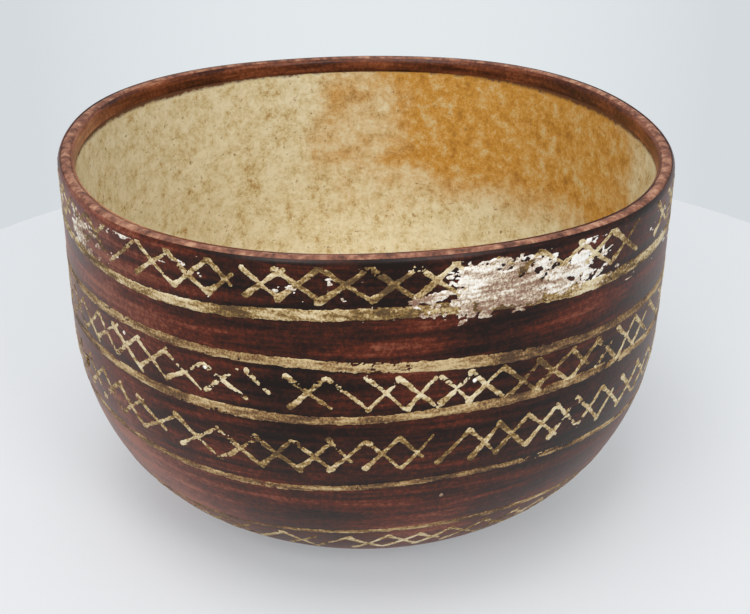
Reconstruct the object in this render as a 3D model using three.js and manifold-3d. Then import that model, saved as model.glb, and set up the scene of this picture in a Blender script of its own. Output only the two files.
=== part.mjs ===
// Painted pottery bowl: one hand-built clay body, coated with red and cream slips and painted
// with a brush in plain lines and in lattices of crossed strokes.
// Millimetres, +Z up. The origin is the middle of the flat resting face. Azimuth 0 faces -Y and
// grows towards +X.
import * as THREE from "three";
import { mergeVertices } from "three/addons/utils/BufferGeometryUtils.js";
import Module from "manifold-3d";

// Clay body
const RIM_RADIUS = 110; // outside of the wall at the lip
const HEIGHT = 137; // resting face to the crest of the lip
const BELLY_HEIGHT = 80; // the wall stands upright above this and curves in below it
const FOOT_RADIUS = 38; // flat resting face
const WALL = 4.8; // thickness of the upright wall
const FLOOR = 6.5; // thickness in the middle of the floor
const OUTER_FULLNESS = 2.2; // exponent of the outside curve, where 2 is a plain ellipse
const INNER_FULLNESS = 2.9; // the same for the hollow, fuller because the heel is thick

// What the shaping hand leaves, dying away towards the foot
const CORNER_SIZE = 1.3; // slight corners that push the lip out of round
const CORNERS = 4;
const SWAY_SIZE = 1.2; // slow waves of the lip, up and down
const SWAYS = 3;

// Coats and paint
const SEAT = 0.15; // clearance between a coat and what carries it
const SLIP = 0.4; // thickness of the red and the cream coats
const PAINT = 0.4; // crown of a brush stroke, which feathers to nothing at its edges
const RIM_BAND_DEPTH = 6; // red band inside the mouth, from the crest of the lip
const BARE_FOOT = 2; // height of the worn clay left bare round the foot

// Painted bands: the width of each line and the height of each lattice
const LATTICE_1 = 11.5;
const LINE_1 = 3.6;
const LINE_2 = 3.2;
const LATTICE_2 = 11.5;
const LINE_3 = 3;
const LATTICE_3 = 12.5;
const LINE_4 = 2.2;
const LINE_5 = 2;
const LATTICE_4 = 10.5;
const STROKE = 1.8; // width of a stroke in a lattice
const CROSS_PITCH = 12.34; // from one cross to the next, round the rim

// Plain strips above each painted band and under the last one. At another height of the bowl they
// keep their proportions and share what the bands leave.
const ABOVE_LATTICE_1 = 3.2;
const ABOVE_LINE_1 = 2;
const ABOVE_LINE_2 = 14;
const ABOVE_LATTICE_2 = 1.8;
const ABOVE_LINE_3 = 1;
const ABOVE_LATTICE_3 = 5.8;
const ABOVE_LINE_4 = 5.2;
const ABOVE_LINE_5 = 22;
const ABOVE_LATTICE_4 = 2.4;
const ABOVE_FOOT = 19.6;
const BREAK_MARGIN = 0.5; // from the lowest band to the break in the wall's outline under it

// Shallow pit where a coarse grain burst out of the wall
const PIT_RADIUS = 2.4;
const PIT_FLOOR_RADIUS = 1.5;
const PIT_DEPTH = 2.2;
const PIT_DROP = 64.5; // below the crest of the lip
const PIT_AZIMUTH = -62.5; // degrees
const PIT_SIDES = 12;

// Facets: each cross of a lattice fills one flat facet of the wall
const SIDES = 2 * Math.round((Math.PI * RIM_RADIUS) / CROSS_PITCH);
const HEEL_ROWS = 2;
const LIP_ROWS = 4;
const HOLLOW_ROWS = 7;

const clay = new THREE.MeshStandardMaterial({ color: 0xb0775c, roughness: 0.85 });
const redSlip = new THREE.MeshStandardMaterial({ color: 0x4c1d12, roughness: 0.35 });
const rimSlip = new THREE.MeshStandardMaterial({ color: 0x6a2a1c, roughness: 0.35 });
const creamSlip = new THREE.MeshStandardMaterial({ color: 0xd8c79f, roughness: 0.7 });
const creamPaint = new THREE.MeshStandardMaterial({ color: 0xcfb98c, roughness: 0.7 });

const PAINTED_BANDS = [
  { name: "painted_lattice_1", size: LATTICE_1, above: ABOVE_LATTICE_1, shape: lattice },
  { name: "painted_line_1", size: LINE_1, above: ABOVE_LINE_1, shape: line },
  { name: "painted_line_2", size: LINE_2, above: ABOVE_LINE_2, shape: line },
  { name: "painted_lattice_2", size: LATTICE_2, above: ABOVE_LATTICE_2, shape: lattice },
  { name: "painted_line_3", size: LINE_3, above: ABOVE_LINE_3, shape: line },
  { name: "painted_lattice_3", size: LATTICE_3, above: ABOVE_LATTICE_3, shape: lattice },
  { name: "painted_line_4", size: LINE_4, above: ABOVE_LINE_4, shape: line },
  { name: "painted_line_5", size: LINE_5, above: ABOVE_LINE_5, shape: line },
  { name: "painted_lattice_4", size: LATTICE_4, above: ABOVE_LATTICE_4, shape: lattice },
];

const wasm = await Module();
wasm.setup();

const bands = setOutBands();
const outside = outsideLine();
const upperWall = new THREE.Vector2(RIM_RADIUS - WALL, HEIGHT - RIM_BAND_DEPTH);
const bandEdge = new THREE.Vector2(upperWall.x, upperWall.y - SEAT);

const bowl = new THREE.Group();
addPiece("clay_body", revolve(clayProfile()), clay);
addPiece("exterior_red_slip", coat([...outside.slice(1), ...lipLine(0, 1)]), redSlip);
addPiece("rim_red_band", coat([...lipLine(LIP_ROWS - 1, LIP_ROWS), upperWall]), rimSlip);
addPiece("interior_cream_slip", coat([bandEdge, ...hollowLine()]), creamSlip);
for (const band of bands) {
  addPiece(band.name, band.shape(band), creamPaint);
}

// Heights of the painted bands

function setOutBands() {
  const painted = PAINTED_BANDS.reduce((sum, band) => sum + band.size, 0);
  const plain = PAINTED_BANDS.reduce((sum, band) => sum + band.above, ABOVE_FOOT);
  const stretch = (HEIGHT - painted) / plain;
  let edge = HEIGHT;
  return PAINTED_BANDS.map((band) => {
    const upper = edge;
    const high = upper - stretch * band.above;
    edge = high - band.size;
    return { ...band, upper, high, low: edge };
  });
}

// Outlines of the wall, followed from the foot over the lip to the floor

function outerRadius(height) {
  const drop = Math.max(BELLY_HEIGHT - height, 0) / BELLY_HEIGHT;
  const share = (1 - drop ** OUTER_FULLNESS) ** (1 / OUTER_FULLNESS);
  return FOOT_RADIUS + (RIM_RADIUS - FOOT_RADIUS) * share;
}

// The breaks lie in the plain strips, so that each painted band has one flat run of wall behind it
function outsideLine() {
  const heelTop = bands.at(-1).low - BREAK_MARGIN;
  const heights = [0];
  for (let row = 0; row <= HEEL_ROWS; row += 1) {
    heights.push(BARE_FOOT + (heelTop - BARE_FOOT) * (row / HEEL_ROWS) ** 1.5);
  }
  for (const band of bands.toReversed()) {
    const middle = 0.5 * (band.upper + band.high);
    if (middle < BELLY_HEIGHT) {
      heights.push(middle);
    }
  }
  return heights.map((height) => new THREE.Vector2(outerRadius(height), height));
}

// Rows of the half round of the lip, where row 0 is its outer edge
function lipLine(firstRow, lastRow) {
  const points = [];
  for (let row = firstRow; row <= lastRow; row += 1) {
    const angle = (Math.PI * row) / LIP_ROWS;
    const radius = RIM_RADIUS - 0.5 * WALL * (1 - Math.cos(angle));
    points.push(new THREE.Vector2(radius, HEIGHT - 0.5 * WALL * (1 - Math.sin(angle))));
  }
  return points;
}

// The hollow below the belly, down to the middle of the floor
function hollowLine() {
  const width = RIM_RADIUS - WALL;
  const depth = BELLY_HEIGHT - FLOOR;
  const points = [new THREE.Vector2(width, BELLY_HEIGHT)];
  for (let row = 1; row < HOLLOW_ROWS; row += 1) {
    const angle = (0.5 * Math.PI * row) / HOLLOW_ROWS;
    const radius = width * Math.cos(angle) ** (2 / INNER_FULLNESS);
    const height = BELLY_HEIGHT - depth * Math.sin(angle) ** (2 / INNER_FULLNESS);
    points.push(new THREE.Vector2(radius, height));
  }
  points.push(new THREE.Vector2(0, FLOOR));
  return points;
}

function clayProfile() {
  const centre = new THREE.Vector2(0, 0);
  return [centre, ...outside, ...lipLine(0, LIP_ROWS), ...hollowLine()];
}

// Square to a run of the outline, out of the clay
function outwards(from, to) {
  return new THREE.Vector2(to.y - from.y, from.x - to.x).normalize();
}

// The same outline, a distance clear of the clay, with mitred corners
function offsetLine(points, distance) {
  return points.map((point, index) => {
    const before = index > 0 ? outwards(points[index - 1], point) : null;
    const after = index < points.length - 1 ? outwards(point, points[index + 1]) : null;
    if (point.x === 0) {
      return new THREE.Vector2(0, point.y + distance / before.y);
    }
    if (!before || !after) {
      return point.clone().addScaledVector(before ?? after, distance);
    }
    const mitre = before.clone().add(after).divideScalar(1 + before.dot(after));
    return point.clone().addScaledVector(mitre, distance);
  });
}

// Closed solids

// Shares the corners of a triangle mesh, drops its empty triangles and faces the rest outwards
function closedSolid(geometry) {
  const bare = geometry.clone();
  bare.deleteAttribute("normal");
  bare.deleteAttribute("uv");
  const merged = mergeVertices(bare, 1e-5);
  const position = merged.attributes.position;
  const triangles = [];
  let volume = 0;
  for (let at = 0; at < merged.index.count; at += 3) {
    const triangle = [0, 1, 2].map((corner) => merged.index.getX(at + corner));
    if (new Set(triangle).size === 3) {
      const [a, b, c] = triangle.map((i) => new THREE.Vector3().fromBufferAttribute(position, i));
      volume += a.dot(b.cross(c));
      triangles.push(triangle);
    }
  }
  if (volume < 0) {
    triangles.forEach((triangle) => triangle.reverse());
  }
  merged.setIndex(triangles.flat());
  return merged;
}

function revolve(profile) {
  const geometry = new THREE.LatheGeometry(profile, SIDES);
  geometry.rotateX(0.5 * Math.PI);
  return closedSolid(geometry);
}

// A coat of slip over a run of the wall's outline, closed at its edges or on the axis
function coat(outline) {
  const back = offsetLine(outline, SEAT).reverse();
  const face = offsetLine(outline, SEAT + SLIP);
  const loop = [...back, ...face];
  if (back[0].x > 0) {
    loop.push(back[0]);
  }
  return revolve(loop);
}

function toManifold(geometry) {
  const mesh = new wasm.Mesh({
    numProp: 3,
    vertProperties: new Float32Array(geometry.attributes.position.array),
    triVerts: new Uint32Array(geometry.index.array),
  });
  return new wasm.Manifold(mesh);
}

// Cuts the pit out of a solid that it reaches. Crumbs that the cut sets loose are gone too.
function withPit(geometry) {
  const solid = toManifold(geometry);
  const hollow = toManifold(pitHollow());
  if (solid.intersect(hollow).isEmpty()) {
    return geometry;
  }
  const pieces = solid.subtract(hollow).decompose();
  const whole = pieces.reduce((best, piece) => (piece.volume() > best.volume() ? piece : best));
  const mesh = whole.getMesh();
  const cut = new THREE.BufferGeometry();
  cut.setAttribute("position", new THREE.BufferAttribute(mesh.vertProperties, 3));
  cut.setIndex(new THREE.BufferAttribute(mesh.triVerts, 1));
  return cut;
}

// A blunt cone that narrows into the wall, and reaches out past the paint
function pitHollow() {
  const height = HEIGHT - PIT_DROP;
  const reach = PIT_DEPTH + 2 * (SEAT + SLIP + SEAT + PAINT);
  const hollow = new THREE.CylinderGeometry(PIT_FLOOR_RADIUS, PIT_RADIUS, reach, PIT_SIDES);
  hollow.translate(0, PIT_DEPTH - 0.5 * reach - outerRadius(height), height);
  hollow.rotateZ(THREE.MathUtils.degToRad(PIT_AZIMUTH));
  return closedSolid(hollow);
}

// Brush strokes

// The flat run of the coated wall at a height: a place on it by facet, share of the facet's width,
// height on the clay and distance off the red coat
function coatedWall(height) {
  const line = [...outside, ...lipLine(0, 0)];
  const at = line.findIndex((point, index) => index > 0 && point.y > height);
  const [from, to] = [line[at - 1], line[at]];
  const normal = outwards(from, to);
  const turn = (2 * Math.PI) / SIDES;
  return (facet, share, level, off) => {
    const stand = SEAT + SLIP + SEAT + off;
    const along = (level - from.y) / (to.y - from.y);
    const radius = from.x + (to.x - from.x) * along + normal.x * stand;
    const left = facet * turn;
    const right = left + turn;
    const x = Math.sin(left) + (Math.sin(right) - Math.sin(left)) * share;
    const y = Math.cos(left) + (Math.cos(right) - Math.cos(left)) * share;
    return [radius * x, -radius * y, level + normal.y * stand];
  };
}

// A line round the wall: flat on the coat, with its crown along the middle
function line(band) {
  const place = coatedWall(band.low);
  const section = [
    place(0, 0, band.low, 0),
    place(0, 0, band.high, 0),
    place(0, 0, 0.5 * (band.low + band.high), PAINT),
    place(0, 0, band.low, 0),
  ];
  return revolve(section.map(([, y, z]) => new THREE.Vector2(-y, z)));
}

// Two zigzags of strokes that cross in the middle of every facet and meet in tips at its corners.
// Each stroke is flat on the coat and has its crown along its middle.
function lattice(band) {
  const place = coatedWall(band.low);
  const middle = 0.5 * (band.low + band.high);
  const pitch = 2 * outerRadius(middle) * Math.sin(Math.PI / SIDES);
  const lean = Math.atan2(band.high - band.low, pitch);
  const rise = (0.5 * STROKE) / Math.cos(lean);
  const across = (0.5 * STROKE) / Math.sin(lean) / pitch;
  const lowTip = band.low + rise;
  const highTip = band.high - rise;
  const positions = [];
  const triangles = [];

  const corner = (facet, share, level, off) => {
    positions.push(...place(facet, share, level, off));
    return positions.length / 3 - 1;
  };
  const quad = (a, b, c, d) => triangles.push(a, b, c, a, c, d);

  const tips = [];
  const crosses = [];
  for (let facet = 0; facet < SIDES; facet += 1) {
    tips.push({
      lowOut: corner(facet, 0, lowTip - rise, 0),
      low: corner(facet, 0, lowTip, PAINT),
      lowIn: corner(facet, 0, lowTip + rise, 0),
      highIn: corner(facet, 0, highTip - rise, 0),
      high: corner(facet, 0, highTip, PAINT),
      highOut: corner(facet, 0, highTip + rise, 0),
    });
    crosses.push({
      under: corner(facet, 0.5, middle - rise, 0),
      left: corner(facet, 0.5 - across, middle, 0),
      crown: corner(facet, 0.5, middle, PAINT),
      right: corner(facet, 0.5 + across, middle, 0),
      over: corner(facet, 0.5, middle + rise, 0),
    });
  }
  crosses.forEach(({ under, left, crown, right, over }, facet) => {
    const from = tips[facet];
    const to = tips[(facet + 1) % SIDES];
    // Faces that show
    quad(from.lowOut, under, crown, from.low);
    quad(from.low, crown, left, from.lowIn);
    quad(from.highIn, left, crown, from.high);
    quad(from.high, crown, over, from.highOut);
    quad(under, to.lowOut, to.low, crown);
    quad(crown, to.low, to.lowIn, right);
    quad(right, to.highIn, to.high, crown);
    quad(crown, to.high, to.highOut, over);
    // Faces that lie on the coat
    quad(from.lowOut, from.lowIn, left, under);
    quad(from.highIn, from.highOut, over, left);
    quad(under, right, to.lowIn, to.lowOut);
    quad(right, over, to.highOut, to.highIn);
    quad(under, left, over, right);
  });

  const geometry = new THREE.BufferGeometry();
  geometry.setAttribute("position", new THREE.Float32BufferAttribute(positions, 3));
  geometry.setIndex(triangles);
  return geometry;
}

// Adding pieces

// Moves every corner as the shaping hand did, so that coats and paint follow the clay
function shapeByHand(geometry) {
  const position = geometry.attributes.position;
  for (let at = 0; at < position.count; at += 1) {
    const [x, y, z] = [position.getX(at), position.getY(at), position.getZ(at)];
    const azimuth = Math.atan2(x, -y);
    const share = ((z / HEIGHT) * Math.hypot(x, y)) / RIM_RADIUS;
    const spread = 1 - (share * CORNER_SIZE * Math.sin(CORNERS * azimuth)) / RIM_RADIUS;
    const lift = share * SWAY_SIZE * Math.cos(SWAYS * azimuth);
    position.setXYZ(at, x * spread, y * spread, z + lift);
  }
}

function addPiece(name, geometry, material) {
  shapeByHand(geometry);
  const pitted = withPit(geometry);
  pitted.computeVertexNormals();
  const mesh = new THREE.Mesh(pitted, material);
  mesh.name = name;
  bowl.add(mesh);
}

export default bowl;
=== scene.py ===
"""Looks of the painted pottery bowl: its clay, slips and brushwork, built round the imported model.

Lengths are in metres. Azimuth 0 faces -Y, the side that the photograph shows, and grows towards +X.
"""

import logging
import math
from dataclasses import dataclass
from enum import Enum
from typing import Any

import bpy
import numpy as np
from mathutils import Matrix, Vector


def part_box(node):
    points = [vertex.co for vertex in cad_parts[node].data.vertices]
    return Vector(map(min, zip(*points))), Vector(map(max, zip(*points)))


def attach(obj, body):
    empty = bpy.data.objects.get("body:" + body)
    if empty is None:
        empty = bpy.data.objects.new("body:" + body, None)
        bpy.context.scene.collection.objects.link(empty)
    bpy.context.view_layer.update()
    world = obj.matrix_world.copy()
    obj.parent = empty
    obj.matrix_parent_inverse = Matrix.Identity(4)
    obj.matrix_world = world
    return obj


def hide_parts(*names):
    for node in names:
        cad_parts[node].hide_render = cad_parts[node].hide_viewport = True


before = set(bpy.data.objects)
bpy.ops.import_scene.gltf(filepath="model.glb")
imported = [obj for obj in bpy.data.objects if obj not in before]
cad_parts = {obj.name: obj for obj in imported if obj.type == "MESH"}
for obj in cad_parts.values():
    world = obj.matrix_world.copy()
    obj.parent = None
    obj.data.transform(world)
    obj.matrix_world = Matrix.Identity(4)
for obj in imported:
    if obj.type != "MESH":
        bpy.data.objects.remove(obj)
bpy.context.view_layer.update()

LOG = logging.getLogger("bowl")
MM = 0.001
BODY = "root"
SHARP_FROM = math.radians(50)
Socket = bpy.types.NodeSocket
Stops = list[tuple[float, str]]
Triple = tuple[float, float, float]


def linear(colour: str) -> tuple[float, float, float, float]:
    """Turns an sRGB hex colour such as "#c8b48c" into linear red, green, blue and alpha."""
    channels = [int(colour[at : at + 2], 16) / 255 for at in (1, 3, 5)]
    return (*(c / 12.92 if c <= 0.04045 else ((c + 0.055) / 1.055) ** 2.4 for c in channels), 1.0)


def smooth(low: float, high: float, value: np.ndarray) -> np.ndarray:
    """Rises smoothly from 0 at low to 1 at high."""
    share = np.clip((value - low) / (high - low), 0, 1)
    return share * share * (3 - 2 * share)


def add_node(
    tree: bpy.types.NodeTree,
    kind: str,
    settings: dict[str, Any] | None = None,
    inputs: dict[Any, Any] | None = None,
    stops: Stops | None = None,
) -> bpy.types.Node:
    """Adds a node to a tree.

    Args:
        tree: The material's or world's node tree.
        kind: The node's type name.
        settings: Attributes to set on the node.
        inputs: Values for its inputs, or output sockets to link to them.
        stops: Places and hex colours of a colour ramp.

    Returns:
        The new node.
    """
    node = tree.nodes.new(kind)
    for name, value in (settings or {}).items():
        setattr(node, name, value)
    for name, value in (inputs or {}).items():
        if isinstance(value, Socket):
            tree.links.new(value, node.inputs[name])
        else:
            node.inputs[name].default_value = value
    if stops:
        elements = node.color_ramp.elements
        while len(elements) < len(stops):
            elements.new(0.5)
        for element, (place, colour) in zip(elements, stops):
            element.position = place
            element.color = linear(colour)
    return node


class Recipe:
    """A material in the making: each step adds a node and returns what comes out of it."""

    def __init__(self, name: str) -> None:
        """Starts an empty material with the given name."""
        self.material = bpy.data.materials.new(name)
        self.material.use_nodes = True
        self.tree = self.material.node_tree
        self.tree.nodes.clear()

    def place(self) -> Socket:
        """Where the shaded point lies, in metres."""
        return add_node(self.tree, "ShaderNodeNewGeometry").outputs["Position"]

    def part_of(self, vector: Socket, axis: str) -> Socket:
        """A vector's X, Y or Z."""
        return add_node(self.tree, "ShaderNodeSeparateXYZ", inputs={"Vector": vector}).outputs[axis]

    def noise(self, vector: Socket, scale: float, detail: float, roughness: float = 0.5) -> Socket:
        """Cloudy noise from 0 to 1, with its scale in cells to the metre."""
        inputs = {"Vector": vector, "Scale": scale, "Detail": detail, "Roughness": roughness}
        return add_node(self.tree, "ShaderNodeTexNoise", inputs=inputs).outputs["Fac"]

    def maths(self, operation: str, *values: Socket | float) -> Socket:
        """The outcome of an operation on numbers."""
        inputs = dict(enumerate(values))
        return add_node(self.tree, "ShaderNodeMath", {"operation": operation}, inputs).outputs[0]

    def vectors(self, operation: str, *values: Socket | Triple) -> Socket:
        """The outcome of an operation on vectors, which for a dot product is a number."""
        inputs = dict(enumerate(values))
        node = add_node(self.tree, "ShaderNodeVectorMath", {"operation": operation}, inputs)
        return node.outputs["Value" if operation == "DOT_PRODUCT" else "Vector"]

    def facing(self, place: Socket, azimuth: float) -> Socket:
        """How far round a place lies towards an azimuth: 1 there, -1 on the far side."""
        level = self.vectors("MULTIPLY", place, (1.0, 1.0, 0.0))
        around = self.vectors("NORMALIZE", level)
        return self.vectors("DOT_PRODUCT", around, (math.sin(azimuth), -math.cos(azimuth), 0.0))

    def drawn_along(self, place: Socket, stretch: float) -> Socket:
        """Places for noise that is drawn out along the wall."""
        return self.vectors("MULTIPLY", place, (1 / stretch, 1 / stretch, 1.0))

    def span(
        self,
        value: Socket,
        low: float,
        high: float,
        bottom: float = 0,
        top: float = 1,
        eased: bool = False,
    ) -> Socket:
        """Rises from bottom, while the value is low or less, to top, once it is high or more."""
        settings = {"interpolation_type": "SMOOTHSTEP" if eased else "LINEAR"}
        inputs = {"Value": value, "From Min": low, "From Max": high, "To Min": bottom, "To Max": top}
        return add_node(self.tree, "ShaderNodeMapRange", settings, inputs).outputs["Result"]

    def ramp(self, value: Socket, stops: Stops, interpolation: str = "LINEAR") -> Socket:
        """Colours laid out along a value."""
        node = add_node(self.tree, "ShaderNodeValToRGB", inputs={"Fac": value}, stops=stops)
        node.color_ramp.interpolation = interpolation
        return node.outputs["Color"]

    def over(self, under: Socket, colour: Socket | tuple[float, ...], share: Socket) -> Socket:
        """A colour laid over another by a share."""
        inputs = {"Factor": share, 6: under, 7: colour}
        return add_node(self.tree, "ShaderNodeMix", {"data_type": "RGBA"}, inputs).outputs[2]

    def bump(self, height: Socket, strength: float, distance: float) -> Socket:
        """The direction that a surface faces with small heights on it."""
        inputs = {"Height": height, "Strength": strength, "Distance": distance}
        return add_node(self.tree, "ShaderNodeBump", inputs=inputs).outputs["Normal"]

    def end_with(self, surface: Socket) -> bpy.types.Material:
        """Puts a shader on the surface and returns the material."""
        add_node(self.tree, "ShaderNodeOutputMaterial", inputs={"Surface": surface})
        return self.material

    def end_as_coat(
        self,
        colour: Socket,
        roughness: Socket | float,
        normal: Socket,
        refraction: float = 1.5,
        more: dict[str, Any] | None = None,
    ) -> bpy.types.Material:
        """Makes the surface an opaque coat and returns the material."""
        inputs = {"Base Color": colour, "Roughness": roughness, "IOR": refraction, "Normal": normal}
        shader = add_node(self.tree, "ShaderNodeBsdfPrincipled", inputs=inputs | (more or {}))
        return self.end_with(shader.outputs["BSDF"])


class HandNoise:
    """Seeded noise on the unrolled wall, which closes on itself round the bowl."""

    def __init__(self, seed: int, girth: float) -> None:
        """Starts a noise from a seed, on a wall of the given girth."""
        self.random = np.random.default_rng(seed)
        self.girth = girth

    def layer(self, azimuth: np.ndarray, height: np.ndarray, wide: float, tall: float) -> np.ndarray:
        """Blends random values between the corners of cells.

        Args:
            azimuth: Angles in radians, one for each column.
            height: Heights, one for each row.
            wide: A cell's length round the wall.
            tall: A cell's height.

        Returns:
            Rows by columns of values from -1 to 1.
        """
        columns = max(4, round(self.girth / wide))
        rows = int(math.ceil((height.max() - height.min()) / tall)) + 2
        values = self.random.uniform(-1, 1, (rows + 1, columns))
        x = (azimuth / math.tau % 1.0) * columns
        y = (height - height.min()) / tall
        left, low = np.floor(x).astype(int) % columns, np.floor(y).astype(int)
        right = (left + 1) % columns
        across = smooth(0, 1, x - np.floor(x))
        up = smooth(0, 1, y - np.floor(y))[:, None]
        under = values[low][:, left] * (1 - across) + values[low][:, right] * across
        over = values[low + 1][:, left] * (1 - across) + values[low + 1][:, right] * across
        return under * (1 - up) + over * up

    def cloud(
        self, azimuth: np.ndarray, height: np.ndarray, cell: float, stretch: float, fade: float = 0.5
    ) -> np.ndarray:
        """Adds three layers, each half the size of the one before and fainter by the share fade."""
        total = np.zeros((len(height), len(azimuth)))
        for octave in range(3):
            size = cell / 2**octave
            total += self.layer(azimuth, height, size * stretch, size) * fade**octave
        return total / (1 + fade + fade**2)


@dataclass(frozen=True)
class BowlForm:
    """The clay's form, which every coat and stroke follows.

    A dent wave is a count round the wall, the height in which it turns by a radian, and a phase.
    The pit's flat floor is a share of its radius. It pushes in only what is in the outer skin.
    """

    rim_radius: float
    crest: float
    belly: float = 80 * MM
    foot_radius: float = 38 * MM
    wall: float = 4.8 * MM
    floor: float = 6.5 * MM
    outer_fullness: float = 2.2
    inner_fullness: float = 2.9
    corner_size: float = 1.3 * MM
    corners: int = 4
    sway_size: float = 1.2 * MM
    sways: int = 3
    dent: float = 0.09 * MM
    dent_waves: tuple[Triple, ...] = ((7, 9 * MM, 0), (11, -13 * MM, 2))
    pit_azimuth: float = math.radians(-62.5)
    pit_height: float = 72.5 * MM
    pit_radius: float = 2.4 * MM
    pit_floor: float = 0.55
    pit_depth: float = 1.9 * MM
    outer_skin: float = 1.5 * MM

    @classmethod
    def from_frame(cls) -> "BowlForm":
        """Takes the rim's radius and the crest's height from the packed clay body."""
        low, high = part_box("clay_body")
        return cls(rim_radius=(high.x - low.x) / 2, crest=high.z - cls.sway_size)

    @property
    def girth(self) -> float:
        """Length round the wall at the rim."""
        return math.tau * self.rim_radius

    @property
    def lip_foot(self) -> float:
        """Height at which the wall rounds over into the lip."""
        return self.crest - self.wall / 2

    def outer_radius(self, height: np.ndarray) -> np.ndarray:
        """Radius of the outside at a height: upright above the belly, curving in below it."""
        drop = np.clip(self.belly - height, 0, None) / self.belly
        share = np.clip(1 - drop**self.outer_fullness, 0, 1) ** (1 / self.outer_fullness)
        return self.foot_radius + (self.rim_radius - self.foot_radius) * share

    def outside(self, low: float, high: float, step: float) -> np.ndarray:
        """Outline of the outside between two heights, closer together towards the heel."""
        share = np.linspace(math.sqrt(max(low, 0)), math.sqrt(high), int((high - low) / step) + 2)
        height = share**2
        return np.column_stack([self.outer_radius(height), height])

    def lip(self, start: float, end: float, rows: int) -> np.ndarray:
        """Half round of the lip between two shares of the way over it, 0 outside and 1 inside."""
        angle = np.pi * np.linspace(start, end, rows)
        half = self.wall / 2
        radius = self.rim_radius - half + half * np.cos(angle)
        return np.column_stack([radius, self.lip_foot + half * np.sin(angle)])

    def inside(self, top: float, rows: int) -> np.ndarray:
        """Outline of the hollow from a height on the upright wall down to the middle of the floor."""
        width, depth = self.rim_radius - self.wall, self.belly - self.floor
        upright = np.linspace(top, self.belly, rows // 3, endpoint=False)
        angle = np.linspace(0, np.pi / 2, rows)
        radius = width * np.abs(np.cos(angle)) ** (2 / self.inner_fullness)
        height = self.belly - depth * np.sin(angle) ** (2 / self.inner_fullness)
        radius[-1] = 0
        wall = np.column_stack([np.full(len(upright), width), upright])
        return np.vstack([wall, np.column_stack([radius, height])])

    def clear_of(self, outline: np.ndarray, distance: float) -> np.ndarray:
        """The same outline moved out of the clay by a distance."""
        slope = np.gradient(outline, axis=0)
        normal = np.column_stack([slope[:, 1], -slope[:, 0]])
        normal /= np.linalg.norm(normal, axis=1, keepdims=True)
        moved = outline + normal * distance
        moved[outline[:, 0] == 0, 0] = 0
        return moved

    def shape_by_hand(self, points: np.ndarray) -> np.ndarray:
        """Moves points as the shaping hand did: corners and sways of the lip, shallow dents, the pit.

        Args:
            points: Places on the plain turned form, in rows of x, y and z.

        Returns:
            The moved places.
        """
        x, y, z = points[..., 0], points[..., 1], points[..., 2]
        radius = np.hypot(x, y)
        azimuth = np.arctan2(x, -y)
        share = z / self.crest * radius / self.rim_radius
        spread = -share * self.corner_size * np.sin(self.corners * azimuth)
        for count, rise, phase in self.dent_waves:
            spread = spread + self.dent * share * np.sin(count * azimuth + z / rise + phase)
        away = np.hypot((azimuth - self.pit_azimuth) * self.rim_radius, z - self.pit_height)
        outside = radius > self.outer_radius(z) - self.outer_skin
        pit = self.pit_depth * (1 - smooth(self.pit_floor * self.pit_radius, self.pit_radius, away))
        spread = spread - np.where(outside, pit, 0)
        factor = 1 + spread / np.maximum(radius, 1 * MM)
        lift = share * self.sway_size * np.cos(self.sways * azimuth)
        return np.stack([x * factor, y * factor, z + lift], axis=-1)

    def on_outside(self, azimuth: np.ndarray, height: np.ndarray, off: np.ndarray) -> np.ndarray:
        """Places off the outside of the clay, for rows of heights by columns of azimuths."""
        step = 0.1 * MM
        run = self.outer_radius(height + step) - self.outer_radius(height - step)
        normal = np.column_stack([np.full(len(height), 2 * step), -run])
        normal /= np.linalg.norm(normal, axis=1, keepdims=True)
        radius = self.outer_radius(height)[:, None] + normal[:, :1] * off
        level = height[:, None] + normal[:, 1:] * off
        points = np.stack([radius * np.sin(azimuth), -radius * np.cos(azimuth), level], axis=-1)
        return self.shape_by_hand(points)


def add_mesh(
    name: str, points: np.ndarray, faces: list[list[int]], material: bpy.types.Material
) -> bpy.types.Object:
    """Makes a mesh object, smooth but for its sharp edges, and dresses it."""
    mesh = bpy.data.meshes.new(name)
    mesh.from_pydata(points.tolist(), [], faces)
    mesh.validate()
    mesh.shade_smooth()
    mesh.set_sharp_from_angle(angle=SHARP_FROM)
    mesh.materials.append(material)
    piece = bpy.data.objects.new(name, mesh)
    bpy.context.scene.collection.objects.link(piece)
    return piece


def register(piece: bpy.types.Object, slot: str, *nodes: str) -> None:
    """Lets a piece ride on the bowl and stand for its nodes."""
    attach(piece, BODY)
    if nodes:
        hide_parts(*nodes)
    LOG.info("%s: %d faces", piece.name, len(piece.data.polygons))


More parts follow.
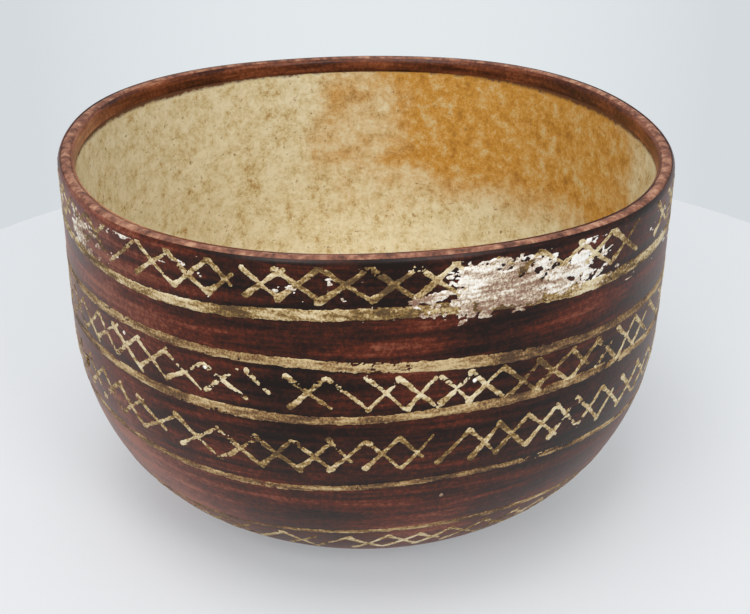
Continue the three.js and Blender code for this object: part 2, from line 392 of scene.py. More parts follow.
@dataclass(frozen=True)
class Turned:
    """A closed piece turned round the axis from one outline and then shaped by hand."""

    name: str
    slot: str
    node: str
    columns: int

    def make(self, form: BowlForm, loop: np.ndarray, material: bpy.types.Material) -> None:
        """Builds the piece.

        Args:
            form: The clay's form.
            loop: Outline that closes on itself, or that starts and ends on the axis.
            material: The piece's finish.
        """
        azimuth = np.arange(self.columns) * math.tau / self.columns
        on_axis = loop[0, 0] == 0
        body = loop[1:-1] if on_axis else loop
        radius, level = body[:, :1], np.repeat(body[:, 1:], self.columns, 1)
        rings = np.stack([radius * np.sin(azimuth), -radius * np.cos(azimuth), level], -1)
        points = form.shape_by_hand(rings).reshape(-1, 3)
        rows = np.arange(len(body) if not on_axis else len(body) - 1)
        row, column = np.meshgrid(rows, np.arange(self.columns), indexing="ij")
        beyond = (row + 1) % len(body)
        beside = (column + 1) % self.columns
        quads = [row * self.columns + column, row * self.columns + beside]
        quads += [beyond * self.columns + beside, beyond * self.columns + column]
        faces = np.stack(quads, -1).reshape(-1, 4).tolist()
        if on_axis:
            ends = np.array([[0, 0, loop[0, 1]], [0, 0, loop[-1, 1]]])
            first, last, top = len(points), len(points) + 1, (len(body) - 1) * self.columns
            points = np.vstack([points, ends])
            for at in range(self.columns):
                after = (at + 1) % self.columns
                faces.append([first, after, at])
                faces.append([last, top + at, top + after])
        register(add_mesh(self.name, points, faces, material), self.slot, self.node)


@dataclass(frozen=True)
class FiredClay:
    """Buff-pink fired clay, scraped and worn: matt and finely gritty, with a rubbed darker skin."""

    pale: str = "#b48669"
    warm: str = "#85523c"
    dirty: str = "#482517"
    mottle_scale: float = 240
    grit: float = 1.2 * MM
    relief: float = 0.3 * MM
    roughness: float = 0.75

    def build(self) -> bpy.types.Material:
        """Makes the material."""
        recipe = Recipe("worn_fired_clay")
        place = recipe.place()
        mottle = recipe.noise(place, self.mottle_scale, detail=7, roughness=0.7)
        grain = recipe.noise(place, 1 / self.grit, detail=4)
        colour = recipe.ramp(mottle, [(0.36, self.dirty), (0.5, self.warm), (0.64, self.pale)])
        return recipe.end_as_coat(colour, self.roughness, recipe.bump(grain, 0.35, self.relief))


@dataclass(frozen=True)
class BurnishedRedSlip:
    """Iron-oxide slip rubbed with a pebble: dark, with level streaks and a soft shine.

    Its tone adds up bands by height, a painted sheen on the side towards the left-hand light, streaks,
    clouds and grain.
    """

    name: str
    dark: str
    middle: str
    red: str
    rubbed: str
    streak: float = 3.2 * MM
    stretch: float = 14.0
    cloud_scale: float = 28
    grain: float = 1.5 * MM
    fine_scale: float = 420
    relief: float = 0.35 * MM
    band_weight: float = 0.42
    streak_weight: float = 1.7
    cloud_weight: float = 1.1
    grain_weight: float = 1.2
    tones: tuple[float, float] = (1.72, 2.72)
    roughness: tuple[float, float] = (0.22, 0.48)
    refraction: float = 1.33
    # Painted reflection: a pink sheen lightens the grazing edges in place of the pale room's
    # reflection.
    reflection_sheen_tint: str = "#c0897a"
    reflection_sheen_weight: float = 0.25
    reflection_sheen_roughness: float = 0.28
    # Painted sheen: the side towards this azimuth is lightened as if the left-hand light fell on it.
    painted_sheen_side: float = math.radians(-62)
    painted_sheen_from: float = 0.7
    painted_sheen_strength: float = 0.34

    def build(self, redness: list[tuple[float, float]], crest: float) -> bpy.types.Material:
        """Makes the material.

        Args:
            redness: Shares of the height with how red the slip is there, from 0 to 1.
            crest: Height of the lip.

        Returns:
            The material.
        """
        recipe = Recipe(self.name)
        place = recipe.place()
        streaks = recipe.noise(
            recipe.drawn_along(place, self.stretch), 1 / self.streak, detail=8, roughness=0.68
        )
        clouds = recipe.noise(place, self.cloud_scale, detail=5)
        grain = recipe.noise(place, 1 / self.grain, detail=6, roughness=0.75)
        share = recipe.span(recipe.part_of(place, "Z"), 0.0, crest)
        greys = [(at, "#" + f"{round(255 * value):02x}" * 3) for at, value in redness]
        bands = recipe.ramp(share, greys, "EASE")
        # Painted sheen: the wall facing azimuth -62 degrees, towards the left-hand light, is lightened.
        facing = recipe.facing(place, self.painted_sheen_side)
        side = recipe.span(facing, self.painted_sheen_from, 1.0, top=self.painted_sheen_strength, eased=True)
        tone = recipe.maths("MULTIPLY_ADD", bands, self.band_weight, side)
        tone = recipe.maths("MULTIPLY_ADD", streaks, self.streak_weight, tone)
        tone = recipe.maths("MULTIPLY_ADD", clouds, self.cloud_weight, tone)
        tone = recipe.maths("MULTIPLY_ADD", grain, self.grain_weight, tone)
        # The palest stop takes both the rubbed streaks and the painted sheen of the lit side.
        colour = recipe.ramp(
            recipe.span(tone, *self.tones),
            [(0.12, self.dark), (0.4, self.middle), (0.64, self.red), (0.95, self.rubbed)],
        )
        fine = recipe.noise(place, self.fine_scale, detail=3)
        relief = recipe.maths("MULTIPLY_ADD", fine, 0.35, streaks)
        return recipe.end_as_coat(
            colour,
            recipe.span(streaks, 0.0, 1.0, *self.roughness),
            recipe.bump(relief, 0.35, self.relief),
            self.refraction,
            # Painted reflection: the pink sheen stands in for the pale room's reflection at grazing
            # edges.
            {
                "Sheen Weight": self.reflection_sheen_weight,
                "Sheen Roughness": self.reflection_sheen_roughness,
                "Sheen Tint": linear(self.reflection_sheen_tint),
            },
        )


@dataclass(frozen=True)
class CreamPaint:
    """Kaolin slip brushed on thin: matt cream, stained ochre in its pores and rubbed at its edges."""

    name: str
    pale: str
    cream: str
    ochre: str
    stain: str
    broad_scale: float = 34
    pore: float = 0.8 * MM
    streak: float = 1.5 * MM
    stretch: float = 5.0
    broad_weight: float = 1.1
    pore_weight: float = 1.3
    tones: tuple[float, float] = (1.3, 2.1)
    relief: float = 0.2 * MM
    roughness: float = 0.62

    def build(self) -> bpy.types.Material:
        """Makes the material."""
        recipe = Recipe(self.name)
        place = recipe.place()
        broad = recipe.noise(place, self.broad_scale, detail=3)
        streaks = recipe.noise(recipe.drawn_along(place, self.stretch), 1 / self.streak, detail=4)
        pores = recipe.noise(place, 1 / self.pore, detail=6, roughness=0.72)
        tone = recipe.maths("MULTIPLY_ADD", broad, self.broad_weight, streaks)
        tone = recipe.maths("MULTIPLY_ADD", pores, self.pore_weight, tone)
        colour = recipe.ramp(
            recipe.span(tone, *self.tones),
            [(0.2, self.stain), (0.42, self.ochre), (0.58, self.cream), (0.85, self.pale)],
        )
        return recipe.end_as_coat(colour, self.roughness, recipe.bump(pores, 0.4, self.relief))


@dataclass(frozen=True)
class StainedCreamSlip:
    """Smoothed cream slip of the hollow: pale, speckled brown, stained ochre over the back right.

    The stain lies towards its azimuth and above its heights. Clouds make both edges ragged, and
    as noise is a half on average, half of each raggedness is added to the bounds.
    """

    pale: str = "#ded2b2"
    cream: str = "#cbb88a"
    sand: str = "#a67c3a"
    ochre: str = "#c28a2e"
    brown: str = "#8f5a16"
    speck: str = "#8a6534"
    band_colour: str = "#5a3014"
    band_edge: float = 134 * MM
    band_fade: float = 1.2 * MM
    band_raggedness: float = 9 * MM
    stain_azimuth: float = math.radians(143)
    stain_reach: tuple[float, float] = (0.58, 0.86)
    stain_heights: tuple[float, float] = (62 * MM, 88 * MM)
    side_raggedness: float = 0.9
    height_raggedness: float = 60 * MM
    cloud_scale: float = 26
    mottle_scale: float = 150
    speck_scale: float = 620
    speck_values: tuple[float, float] = (0.64, 0.76)
    relief: float = 0.3 * MM
    roughness: float = 0.6

    def stain(self, recipe: Recipe, place: Socket, height: Socket) -> Socket:
        """How strongly each place is stained, from 0 to 1."""
        clouds = recipe.noise(place, self.cloud_scale, detail=7, roughness=0.62)
        facing = recipe.facing(place, self.stain_azimuth)
        reach = recipe.maths("MULTIPLY_ADD", clouds, self.side_raggedness, facing)
        level = recipe.maths("MULTIPLY_ADD", clouds, self.height_raggedness, height)
        near, near_all = (bound + self.side_raggedness / 2 for bound in self.stain_reach)
        low, high = (bound + self.height_raggedness / 2 for bound in self.stain_heights)
        side = recipe.span(reach, near, near_all, eased=True)
        return recipe.maths("MULTIPLY", side, recipe.span(level, low, high, eased=True))

    def build(self) -> bpy.types.Material:
        """Makes the material."""
        recipe = Recipe("smoothed_cream_slip")
        place = recipe.place()
        height = recipe.part_of(place, "Z")
        mottle = recipe.noise(place, self.mottle_scale, detail=10, roughness=0.88)
        clean = recipe.ramp(mottle, [(0.38, self.sand), (0.45, self.cream), (0.56, self.pale)])
        dirty = recipe.ramp(mottle, [(0.36, self.brown), (0.5, self.ochre), (0.62, self.cream)])
        colour = recipe.over(clean, dirty, self.stain(recipe, place, height))
        grains = recipe.noise(place, self.speck_scale, detail=3)
        colour = recipe.over(colour, linear(self.speck), recipe.span(grains, *self.speck_values))
        ragged = recipe.maths("MULTIPLY_ADD", mottle, self.band_raggedness, height)
        overlap = recipe.span(ragged, self.band_edge, self.band_edge + self.band_fade)
        colour = recipe.over(colour, linear(self.band_colour), overlap)
        return recipe.end_as_coat(colour, self.roughness, recipe.bump(mottle, 0.3, self.relief))


@dataclass(frozen=True)
class PaintGround:
    """The coat outside that paint lies on, unrolled as a grid of azimuths and heights.

    A skin of paint stands proud of the coat, is feathered and dips into the coat at its edges, and
    has its back inside the coat.
    """

    form: BowlForm
    stand: float
    cell: float = 0.4 * MM
    feather: float = 0.35 * MM
    proud: float = 0.16 * MM
    sunk: float = 0.12 * MM
    backing: float = 0.3 * MM

    def azimuths(self) -> np.ndarray:
        """Azimuths of the grid's columns."""
        columns = round(self.form.girth / self.cell)
        return np.arange(columns) * math.tau / columns

    def heights(self, low: float, high: float) -> np.ndarray:
        """Heights of the grid's rows between two bounds."""
        return np.linspace(low, high, round((high - low) / self.cell))

    def lay(
        self,
        name: str,
        field: np.ndarray,
        height: np.ndarray,
        material: bpy.types.Material,
        above: float = 0.0,
    ) -> bpy.types.Object:
        """Makes a closed skin of paint.

        Args:
            name: The piece's name.
            field: How deep each place lies inside the strokes, below 0 off them.
            height: The rows' heights.
            material: The paint's finish.
            above: How much higher it lies than other paint.

        Returns:
            The new object.
        """
        azimuth, stand = self.azimuths(), self.stand + above
        lift = smooth(-self.feather, self.feather, field) * (self.proud + self.sunk) - self.sunk
        face = self.form.on_outside(azimuth, height, stand + lift).reshape(-1, 3)
        depth = np.full(field.shape, stand - self.backing)
        back = self.form.on_outside(azimuth, height, depth).reshape(-1, 3)
        rows, columns = field.shape
        shown = field > -self.feather
        kept = shown[:-1] | shown[1:]
        kept = kept | np.roll(kept, -1, axis=1)
        row, column = np.nonzero(kept)
        beside = (column + 1) % columns
        a, b = row * columns + column, row * columns + beside
        c, d = (row + 1) * columns + beside, (row + 1) * columns + column
        behind = rows * columns
        faces = [np.stack([a, b, c, d], 1), np.stack([a, d, c, b], 1) + behind]
        padded = np.pad(kept, ((1, 1), (0, 0)))
        sides = (
            (~padded[row, column], a, b),
            (~padded[row + 2, column], c, d),
            (~kept[row, column - 1], d, a),
            (~kept[row, beside], b, c),
        )
        for edge, start, end in sides:
            start, end = start[edge], end[edge]
            faces.append(np.stack([start, start + behind, end + behind, end], 1))
        quads = np.vstack(faces)
        used, compact = np.unique(quads, return_inverse=True)
        points = np.vstack([face, back])[used]
        return add_mesh(name, points, compact.reshape(-1, 4).tolist(), material)


@dataclass(frozen=True)
class Sway:
    """How a painted band rises and falls round the wall: a wave with its crest at an azimuth."""

    size: float
    waves: int
    crest_at: float

    def at(self, azimuth: np.ndarray) -> np.ndarray:
        """Height above the band's middle."""
        return self.size * np.cos(self.waves * (azimuth - math.radians(self.crest_at)))


class Pattern(Enum):
    """What the brush drew in a band."""

    LINE = "line"
    LATTICE = "lattice"


@dataclass(frozen=True)
class BrushHand:
    """How unevenly the hand drew strokes: wobble and window in degrees, bow in metres, else shares.

    Chance picks a stroke's length, start height and width between two bounds. A share of them is
    missing, and up to the share broken they end early. A stroke starts with a blob, where the
    brush was full, and tapers from one share of its width by another.
    """

    wobble: float = 0.5
    length: tuple[float, float] = (0.86, 1.16)
    start: tuple[float, float] = (0.78, 1.08)
    missing: float = 0.05
    broken: float = 0.12
    broken_length: float = 0.35
    bow: float = 0.9 * MM
    blob: float = 0.35
    blob_run: float = 0.2
    width: tuple[float, float] = (0.8, 1.15)
    taper: tuple[float, float] = (1.05, 0.3)
    window: float = 9.0


@dataclass(frozen=True)
class PaintedBand:
    """A run of brushwork round the wall: a line, or a lattice of crossed strokes."""

    node: str
    pattern: Pattern
    sway: Sway
    seed: int
    stroke: float
    crosses: tuple[float, ...] = ()
    pitch: float = 6.35
    lift: float = 0.0
    faded: bool = False
    hand: BrushHand = BrushHand()

    def spread(self, form: BowlForm) -> tuple[float, float]:
        """Middle and height of the band, from its node's box without the lip's sway."""
        low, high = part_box(self.node)
        middle = (low.z + high.z) / 2
        return middle + self.lift, high.z - low.z - 2 * form.sway_size * middle / form.crest

    def cross_azimuths(self) -> np.ndarray:
        """Crosses seen from the front where the brush put them, and even ones round the back."""
        front = list(self.crosses)
        span = 360 - (front[-1] - front[0])
        count = max(1, round(span / self.pitch))
        back = [front[-1] + span * (at + 1) / count for at in range(count - 1)]
        return np.array(front + back)

    def lattice_field(self, azimuth: np.ndarray, height: np.ndarray, form: BowlForm) -> np.ndarray:
        """How deep each place lies inside a stroke: below 0 is off the strokes."""
        random, hand = np.random.default_rng(self.seed), self.hand
        middle, tall = self.spread(form)
        field = np.full((len(height), len(azimuth)), -1.0)
        crosses = self.cross_azimuths()
        following = np.append(crosses[1:], crosses[0] + 360)
        before = np.insert(crosses[:-1], 0, crosses[-1] - 360)
        radius = float(form.outer_radius(np.array([middle]))[0])
        reach = tall / 2 - self.stroke / 4
        for cross, last, after in zip(crosses, before, following):
            left, right = (cross - last) / 2, (after - cross) / 2
            for lean in (1, -1):
                shift = random.uniform(-hand.wobble, hand.wobble, 4)
                over, cut = random.uniform(*hand.length, 2), random.random()
                if cut < hand.missing:
                    continue
                kept = hand.broken_length if cut < hand.broken else 1.0
                start = (cross - left * over[0] + shift[0], lean * reach * random.uniform(*hand.start))
                end = (cross + kept * right * over[1] + shift[1], -kept * lean * reach * over[0])
                near = np.abs((np.degrees(azimuth) - cross + 180) % 360 - 180) < hand.window
                turn = (np.degrees(azimuth[near]) - start[0] + 180) % 360 - 180
                x = np.radians(turn) * radius
                y = height[:, None] - middle - self.sway.at(azimuth[near]) - start[1]
                run = math.radians(end[0] - start[0]) * radius
                fall = end[1] - start[1]
                along = np.clip((x * run + y * fall) / (run**2 + fall**2), 0, 1)
                bow = hand.bow * shift[2] * np.sin(np.pi * along)
                distance = np.hypot(x - along * run, y - along * fall - bow)
                taper = hand.taper[0] - hand.taper[1] * along
                blob = hand.blob * (1 - smooth(0, hand.blob_run, along))
                half = 0.5 * self.stroke * random.uniform(*hand.width) * (taper + blob)
                field[:, near] = np.maximum(field[:, near], half - distance)
        return field

    def line_field(self, azimuth: np.ndarray, height: np.ndarray, form: BowlForm) -> np.ndarray:
        """How deep each place lies inside the line, which swells and drifts: below 0 is off it."""
        middle, tall = self.spread(form)
        noise, level = HandNoise(self.seed + 50, form.girth), np.array([0.0, 1.0])
        swell = noise.layer(azimuth, level, wide=42 * MM, tall=1.0)[0]
        drift = noise.layer(azimuth, level, wide=25 * MM, tall=1.0)[0]
        half = 0.5 * tall * (1 + 0.22 * swell)
        centre = middle + self.sway.at(azimuth) + 0.35 * MM * drift
        return half - np.abs(height[:, None] - centre)

    def wear(
        self, field: np.ndarray, azimuth: np.ndarray, height: np.ndarray, girth: float
    ) -> np.ndarray:
        """Roughens the edges and rubs flakes and brush streaks out of the paint."""
        noise = HandNoise(self.seed, girth)
        edge = noise.cloud(azimuth, height, cell=1.5 * MM, stretch=1.4, fade=0.7)
        rubbed = noise.cloud(azimuth, height, cell=6 * MM, stretch=2.5)
        flakes = noise.cloud(azimuth, height, cell=1.2 * MM, stretch=1.5, fade=0.8)
        roughened = field + 0.5 * MM * edge
        loss = smooth(0.3, 0.5, 0.65 * rubbed + 0.6 * flakes)
        return roughened - loss * 1.6 * MM

    def make(self, ground: PaintGround, material: bpy.types.Material) -> None:
        """Builds the band on its ground."""
        form = ground.form
        middle, tall = self.spread(form)
        half = tall / 2 + abs(self.sway.size) + 1.5 * MM
        azimuth = ground.azimuths()
        height = ground.heights(middle - half, min(middle + half, form.lip_foot))
        draw = self.line_field if self.pattern is Pattern.LINE else self.lattice_field
        field = self.wear(draw(azimuth, height, form), azimuth, height, form.girth)
        name = "brushed_" + self.node.removeprefix("painted_")
        register(ground.lay(name, field, height, material), "cream_paint", self.node)


@dataclass(frozen=True)
class Smear:
    """A patch where thin pale slip was wiped over the brushwork and has flaked.

    It runs between two azimuths in degrees and two heights, and fades over a width before and a
    width after each of these four bounds. More cover leaves more of it between the flaked holes.
    """

    name: str
    azimuths: tuple[float, float]
    heights: tuple[float, float]
    seed: int
    cover: float
    start_fade: tuple[float, float] = (12, 9)
    end_fade: tuple[float, float] = (14, 10)
    foot_fade: tuple[float, float] = (2 * MM, 8 * MM)
    head_fade: tuple[float, float] = (6 * MM, 1 * MM)
    head_loss: float = 0.5
    outside_loss: float = 1.4
    cloud_weight: float = 0.8
    wipe_weight: float = 0.8
    hole_weight: float = 1.1
    depth: float = 1.1 * MM
    above: float = 0.05 * MM

    def fade(self, place: np.ndarray, at: float, widths: tuple[float, float]) -> np.ndarray:
        """Rises from 0 to 1 past a bound, over a width before it and a width after it."""
        return smooth(at - widths[0], at + widths[1], place)

    def make(self, ground: PaintGround, material: bpy.types.Material) -> None:
        """Builds the patch over the brushwork."""
        azimuth, height = ground.azimuths(), ground.heights(*self.heights)
        noise = HandNoise(self.seed, ground.form.girth)
        clouds = noise.cloud(azimuth, height, cell=7 * MM, stretch=1.8, fade=0.6)
        wipes = noise.cloud(azimuth, height, cell=1.8 * MM, stretch=4.0, fade=0.8)
        holes = noise.cloud(azimuth, height, cell=2.4 * MM, stretch=1.3, fade=0.85)
        degrees = (np.degrees(azimuth) + 180) % 360 - 180
        (start, end), (foot, head) = self.azimuths, self.heights
        across = np.minimum(
            self.fade(degrees, start, self.start_fade), 1 - self.fade(degrees, end, self.end_fade)
        )
        up = self.fade(height, foot, self.foot_fade)
        up = up * (1 - self.head_loss * self.fade(height, head, self.head_fade))
        cover = self.cover + self.cloud_weight * clouds + self.wipe_weight * wipes
        cover = cover + self.hole_weight * holes - self.outside_loss * (1 - across * up[:, None])
        piece = ground.lay(self.name, cover * self.depth, height, material, self.above)
        register(piece, "cream_paint")


@dataclass(frozen=True)
class WhiteSpecks:
    """Pinhead white specks on the outside, at azimuths in degrees and heights in millimetres."""

    places: tuple[tuple[float, float], ...] = ((13.8, 50.9), (18.5, 93.7), (-44.5, 98.1), (-25.9, 96.7))
    radius: float = 0.7 * MM
    lowest: float = 48 * MM
    highest: float = 101 * MM

    def make(self, ground: PaintGround, material: bpy.types.Material) -> None:
        """Builds all specks as one piece."""
        azimuth = ground.azimuths()
        height = np.arange(self.lowest, self.highest, ground.cell)
        field = np.full((len(height), len(azimuth)), -1.0)
        for degrees, level in self.places:
            turn = (azimuth - math.radians(degrees) + np.pi) % math.tau - np.pi
            away = np.hypot(turn * ground.form.rim_radius, height[:, None] - level * MM)
            field = np.maximum(field, self.radius - away)
        register(ground.lay("white_specks", field, height, material), "cream_paint")


@dataclass(frozen=True)
class Softbox:
    """A square studio lamp that faces the bowl, with its size in metres and its power in watts."""

    name: str
    place: Triple
    size: float
    power: float
    target: Triple = (0, 0, 0.08)

    def add(self) -> None:
        """Adds the lamp to the scene."""
        data = bpy.data.lights.new(self.name, "AREA")
        data.size = self.size
        data.energy = self.power
        lamp = bpy.data.objects.new(self.name, data)
        lamp.location = self.place
        aim = Vector(self.target) - lamp.location
        lamp.rotation_euler = aim.to_track_quat("-Z", "Y").to_euler()
        bpy.context.scene.collection.objects.link(lamp)


@dataclass(frozen=True)
class Studio:
    """A round pale table top before a pale wall, soft light, and the photograph's camera angle."""

    frame_width: int = 750
    focal_pixels: float = 1300
    sensor_width: float = 36.0
    clip: tuple[float, float] = (0.01, 50)
    camera_place: Triple = (4.0 * MM, -451.5 * MM, 295.5 * MM)
    camera_dip: float = 0.4687
    table_colour: str = "#dfe0e1"
    table_seen: str = "#e5e6e9"
    table_lift: float = 0.3
    table_radius: float = 0.275
    table_middle: tuple[float, float] = (0.009, 0.063)
    table_thickness: float = 0.012
    table_sides: int = 180
    room_colour: str = "#dfe5ea"
    room_strength: float = 0.72
    wall_middle: str = "#e4e9ec"
    wall_side: str = "#d5dade"
    wall_distance: float = 1.6
    wall_graded_half: float = 0.62
    wall_half: float = 4.0
    wall_heights: tuple[float, float] = (-3.0, 4.0)
    lamps: tuple[Softbox, ...] = (
        Softbox("overhead_softbox", (-0.15, -0.35, 1.3), 0.7, 6.8),
        Softbox("front_left_softbox", (-0.6, -1.3, 1.1), 0.8, 9.0),
        Softbox("front_right_softbox", (0.7, -1.1, 0.9), 0.5, 5.5),
    )

    def place_camera(self) -> None:
        """Sets the camera, level from side to side and dipped towards the bowl."""
        data = bpy.data.cameras.new("camera")
        data.sensor_width = self.sensor_width
        data.lens = self.focal_pixels / self.frame_width * self.sensor_width
        data.clip_start, data.clip_end = self.clip
        camera = bpy.data.objects.new("camera", data)
        camera.location = self.camera_place
        camera.rotation_euler = (math.pi / 2 - self.camera_dip, 0, 0)
        bpy.context.scene.collection.objects.link(camera)
        bpy.context.scene.camera = camera

    def dress_table(self) -> bpy.types.Material:
        """Makes the table's matt white, lifted to the eye so that it stays pale in shadow."""
        recipe = Recipe("matt_white_table")
        inputs = {"Base Color": linear(self.table_colour), "Roughness": 0.6}
        shader = add_node(recipe.tree, "ShaderNodeBsdfPrincipled", inputs=inputs)
        inputs = {"Color": linear(self.table_seen), "Strength": 1.0}
        glow = add_node(recipe.tree, "ShaderNodeEmission", inputs=inputs)
        seen = add_node(recipe.tree, "ShaderNodeLightPath").outputs["Is Camera Ray"]
        lift = recipe.maths("MULTIPLY", seen, self.table_lift)
        inputs = {0: lift, 1: shader.outputs[0], 2: glow.outputs[0]}
        mixed = add_node(recipe.tree, "ShaderNodeMixShader", inputs=inputs)
        return recipe.end_with(mixed.outputs[0])

    def lay_table(self) -> None:
        """Sets the bowl on a round table top."""
        sides = self.table_sides
        turns = np.arange(sides) * math.tau / sides
        x = self.table_middle[0] + self.table_radius * np.cos(turns)
        y = self.table_middle[1] + self.table_radius * np.sin(turns)
        top = np.column_stack([x, y, np.zeros(sides)])
        points = np.vstack([top, top - (0, 0, self.table_thickness)])
        faces = [list(range(sides)), list(range(2 * sides - 1, sides - 1, -1))]
        faces += [[at, at + sides, (at + 1) % sides + sides, (at + 1) % sides] for at in range(sides)]
        add_mesh("table_top", points, faces, self.dress_table())

    def stand_wall(self) -> None:
        """Stands a pale wall behind the table, a little lighter in its middle."""
        recipe = Recipe("painted_wall")
        share = recipe.maths("DIVIDE", recipe.part_of(recipe.place(), "X"), self.wall_graded_half)
        stops = [(0.0, self.wall_middle), (0.8, self.wall_side)]
        colour = recipe.ramp(recipe.maths("POWER", share, 2.0), stops)
        inputs = {"Color": colour, "Strength": 1.0}
        glow = add_node(recipe.tree, "ShaderNodeEmission", inputs=inputs)
        material = recipe.end_with(glow.outputs[0])
        far, half, (low, high) = self.wall_distance, self.wall_half, self.wall_heights
        corners = [(-half, far, low), (half, far, low), (half, far, high), (-half, far, high)]
        add_mesh("wall", np.array(corners), [[0, 1, 2, 3]], material)

    def light(self) -> None:
        """Lights the bowl from all round, with softboxes above and at the front."""
        world = bpy.data.worlds.new("pale_room")
        world.use_nodes = True
        world.node_tree.nodes.clear()
        inputs = {"Color": linear(self.room_colour), "Strength": self.room_strength}
        room = add_node(world.node_tree, "ShaderNodeBackground", inputs=inputs)
        add_node(world.node_tree, "ShaderNodeOutputWorld", inputs={"Surface": room.outputs[0]})
        bpy.context.scene.world = world
        for lamp in self.lamps:
            lamp.add()

    def build(self) -> None:
        """Sets camera, table, wall, light and the plain view transform."""
        self.place_camera()
        self.lay_table()
        self.stand_wall()
        self.light()
        bpy.context.scene.view_settings.view_transform = "Standard"


# Azimuths in degrees of the crossings that the photograph shows, lattice by lattice from the top.
FIRST_CROSSES = (
    (-66, -58.5, -51, -43, -35, -27.5, -21, -15.5, -9.5, -2.5)
    + (5, 12, 19, 26, 34, 42, 49.5, 57, 64)
)
SECOND_CROSSES = (
    (-64, -57, -50.5, -43.5, -37, -30.5, -22.5, -15.5, -8, -2)
    + (3.5, 10, 15, 21.5, 27.5, 34, 41, 47, 52.5, 59, 65.5)
)
THIRD_CROSSES = (
    (-63, -57, -51, -45, -37.5, -28.5, -20, -14, -8, -2.5)
    + (3.5, 9.5, 15, 20.5, 26, 32, 37.5, 43, 49, 55.5, 62)
)
FOURTH_CROSSES = (-41, -34, -27, -20, -13, -6, 1, 8, 14.5, 21.5, 29, 36, 43)

LINE, LATTICE = Pattern.LINE, Pattern.LATTICE
BANDS = (
    PaintedBand(
        "painted_lattice_1", LATTICE, Sway(0.4 * MM, 5, 8), 11, 1.75 * MM, FIRST_CROSSES, lift=0.7 * MM
    ),
    PaintedBand("painted_line_1", LINE, Sway(0.9 * MM, 5, 8), 12, 3.6 * MM),
    PaintedBand("painted_line_2", LINE, Sway(2.0 * MM, 2, -40), 13, 3.2 * MM, faded=True),
    PaintedBand("painted_lattice_2", LATTICE, Sway(1.4 * MM, 2, -40), 14, 1.5 * MM, SECOND_CROSSES),
    PaintedBand("painted_line_3", LINE, Sway(0.9 * MM, 4, 32), 15, 3.0 * MM, faded=True),
    PaintedBand("painted_lattice_3", LATTICE, Sway(0.9 * MM, 4, 27), 16, 1.5 * MM, THIRD_CROSSES),
    PaintedBand("painted_line_4", LINE, Sway(2.0 * MM, 4, 24), 17, 2.2 * MM, faded=True),
    PaintedBand("painted_line_5", LINE, Sway(2.0 * MM, 3, 25), 18, 2.0 * MM, faded=True),
    PaintedBand("painted_lattice_4", LATTICE, Sway(1.2 * MM, 3, 25), 19, 1.5 * MM, FOURTH_CROSSES),
)
SMEARS = (
    Smear("pale_smear_right", (12, 42), (113.5 * MM, 134.3 * MM), 31, 0.42),
    Smear("pale_smear_left", (-64, -44), (116 * MM, 134 * MM), 32, -0.15),
)

# Shares of the height with how red the slip is there, from the heel to the lip.
WALL_REDNESS = [(0.0, 0.6), (0.15, 0.4), (0.26, 0.7), (0.38, 0.65), (0.45, 0.25), (0.72, 0.2)]
WALL_REDNESS += [(0.755, 0.1), (0.795, 0.65), (0.83, 0.1), (0.88, 0.25), (0.955, 0.2), (0.975, 0.0)]
MOUTH_REDNESS = [(0.0, 0.4), (1.0, 0.5)]


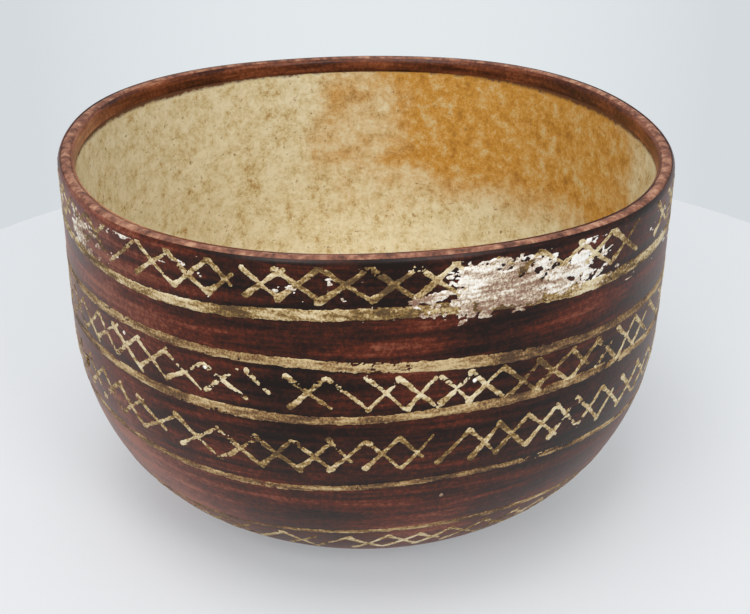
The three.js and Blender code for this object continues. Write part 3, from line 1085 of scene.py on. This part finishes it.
@dataclass(frozen=True)
class PaintedBowl:
    """The whole bowl: clay, coats and brushwork.

    A coat is as thick as the slip and seated just off the clay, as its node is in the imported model.
    """

    form: BowlForm
    seat: float = 0.15 * MM
    slip: float = 0.4 * MM
    bare_foot: float = 2 * MM
    band_depth: float = 6 * MM
    clay_columns: int = 360
    red_columns: int = 720
    cream_columns: int = 480

    def closed_coat(self, outline: np.ndarray) -> np.ndarray:
        """Outline of a coat over a run of the clay's outline."""
        back = self.form.clear_of(outline, self.seat)
        face = self.form.clear_of(outline, self.seat + self.slip)
        return np.vstack([back[::-1], face])

    def build_clay(self) -> None:
        """Builds the bare clay, of which the foot, the lip's crest and the pit show."""
        form = self.form
        middle = np.array([[0.0, 0.0]])
        foot_radii = np.linspace(4 * MM, form.foot_radius, 8, endpoint=False)
        foot = np.column_stack([foot_radii, np.zeros(len(foot_radii))])
        outside = form.outside(0, form.lip_foot, step=1.6 * MM)
        hollow = form.inside(form.lip_foot - 1 * MM, rows=36)
        outline = np.vstack([middle, foot, outside, form.lip(0, 1, rows=13)[1:], hollow])
        clay = Turned("worn_clay", "fired_clay", "clay_body", self.clay_columns)
        clay.make(form, outline, FiredClay().build())

    def build_coats(self) -> None:
        """Builds the red coat outside, the red band in the mouth and the cream coat of the hollow."""
        form = self.form
        wall = form.outside(self.bare_foot, form.lip_foot, step=0.9 * MM)
        outline = np.vstack([wall, form.lip(0, 0.25, rows=4)[1:]])
        slip = BurnishedRedSlip("burnished_iron_red_slip", "#140601", "#371507", "#5c220d", "#8e5039")
        coat = Turned("burnished_red_coat", "red_slip", "exterior_red_slip", self.red_columns)
        coat.make(form, self.closed_coat(outline), slip.build(WALL_REDNESS, form.crest))

        edge = form.crest - self.band_depth
        mouth = form.inside(form.lip_foot, rows=30)
        corner = [[mouth[0, 0], edge]]
        outline = np.vstack([form.lip(0.75, 1, rows=5)[:-1], mouth[mouth[:, 1] > edge], corner])
        slip = BurnishedRedSlip("burnished_rim_slip", "#331508", "#5f2e17", "#804528", "#ad7652")
        coat = Turned("burnished_rim_band", "rim_slip", "rim_red_band", self.red_columns)
        coat.make(form, self.closed_coat(outline), slip.build(MOUTH_REDNESS, form.crest))

        outline = form.inside(edge - self.seat, rows=70)
        coat = Turned("smoothed_cream_coat", "cream_slip", "interior_cream_slip", self.cream_columns)
        coat.make(form, self.closed_coat(outline), StainedCreamSlip().build())

    def build_brushwork(self) -> None:
        """Paints the lines and lattices, then the smears and specks over them."""
        bright = CreamPaint("brushed_cream_slip", "#e0d0ac", "#c3a97a", "#8f6d33", "#523814").build()
        faded = CreamPaint("rubbed_ochre_slip", "#c9b083", "#9f7d4b", "#75522a", "#452a10").build()
        wiped = CreamPaint("wiped_pale_slip", "#fbf7f1", "#eee4d6", "#c9b49a", "#8a6550").build()
        ground = PaintGround(self.form, self.seat + self.slip)
        for band in BANDS:
            band.make(ground, faded if band.faded else bright)
        for smear in SMEARS:
            smear.make(ground, wiped)
        WhiteSpecks().make(ground, wiped)

    def build(self) -> None:
        """Builds the bowl from the clay outwards."""
        self.build_clay()
        self.build_coats()
        self.build_brushwork()


def main() -> None:
    """Builds the studio and the bowl, and reports each piece."""
    logging.basicConfig(level=logging.INFO, format="%(name)s %(message)s")
    Studio().build()
    PaintedBowl(BowlForm.from_frame()).build()


if __name__ == "__main__":
    main()
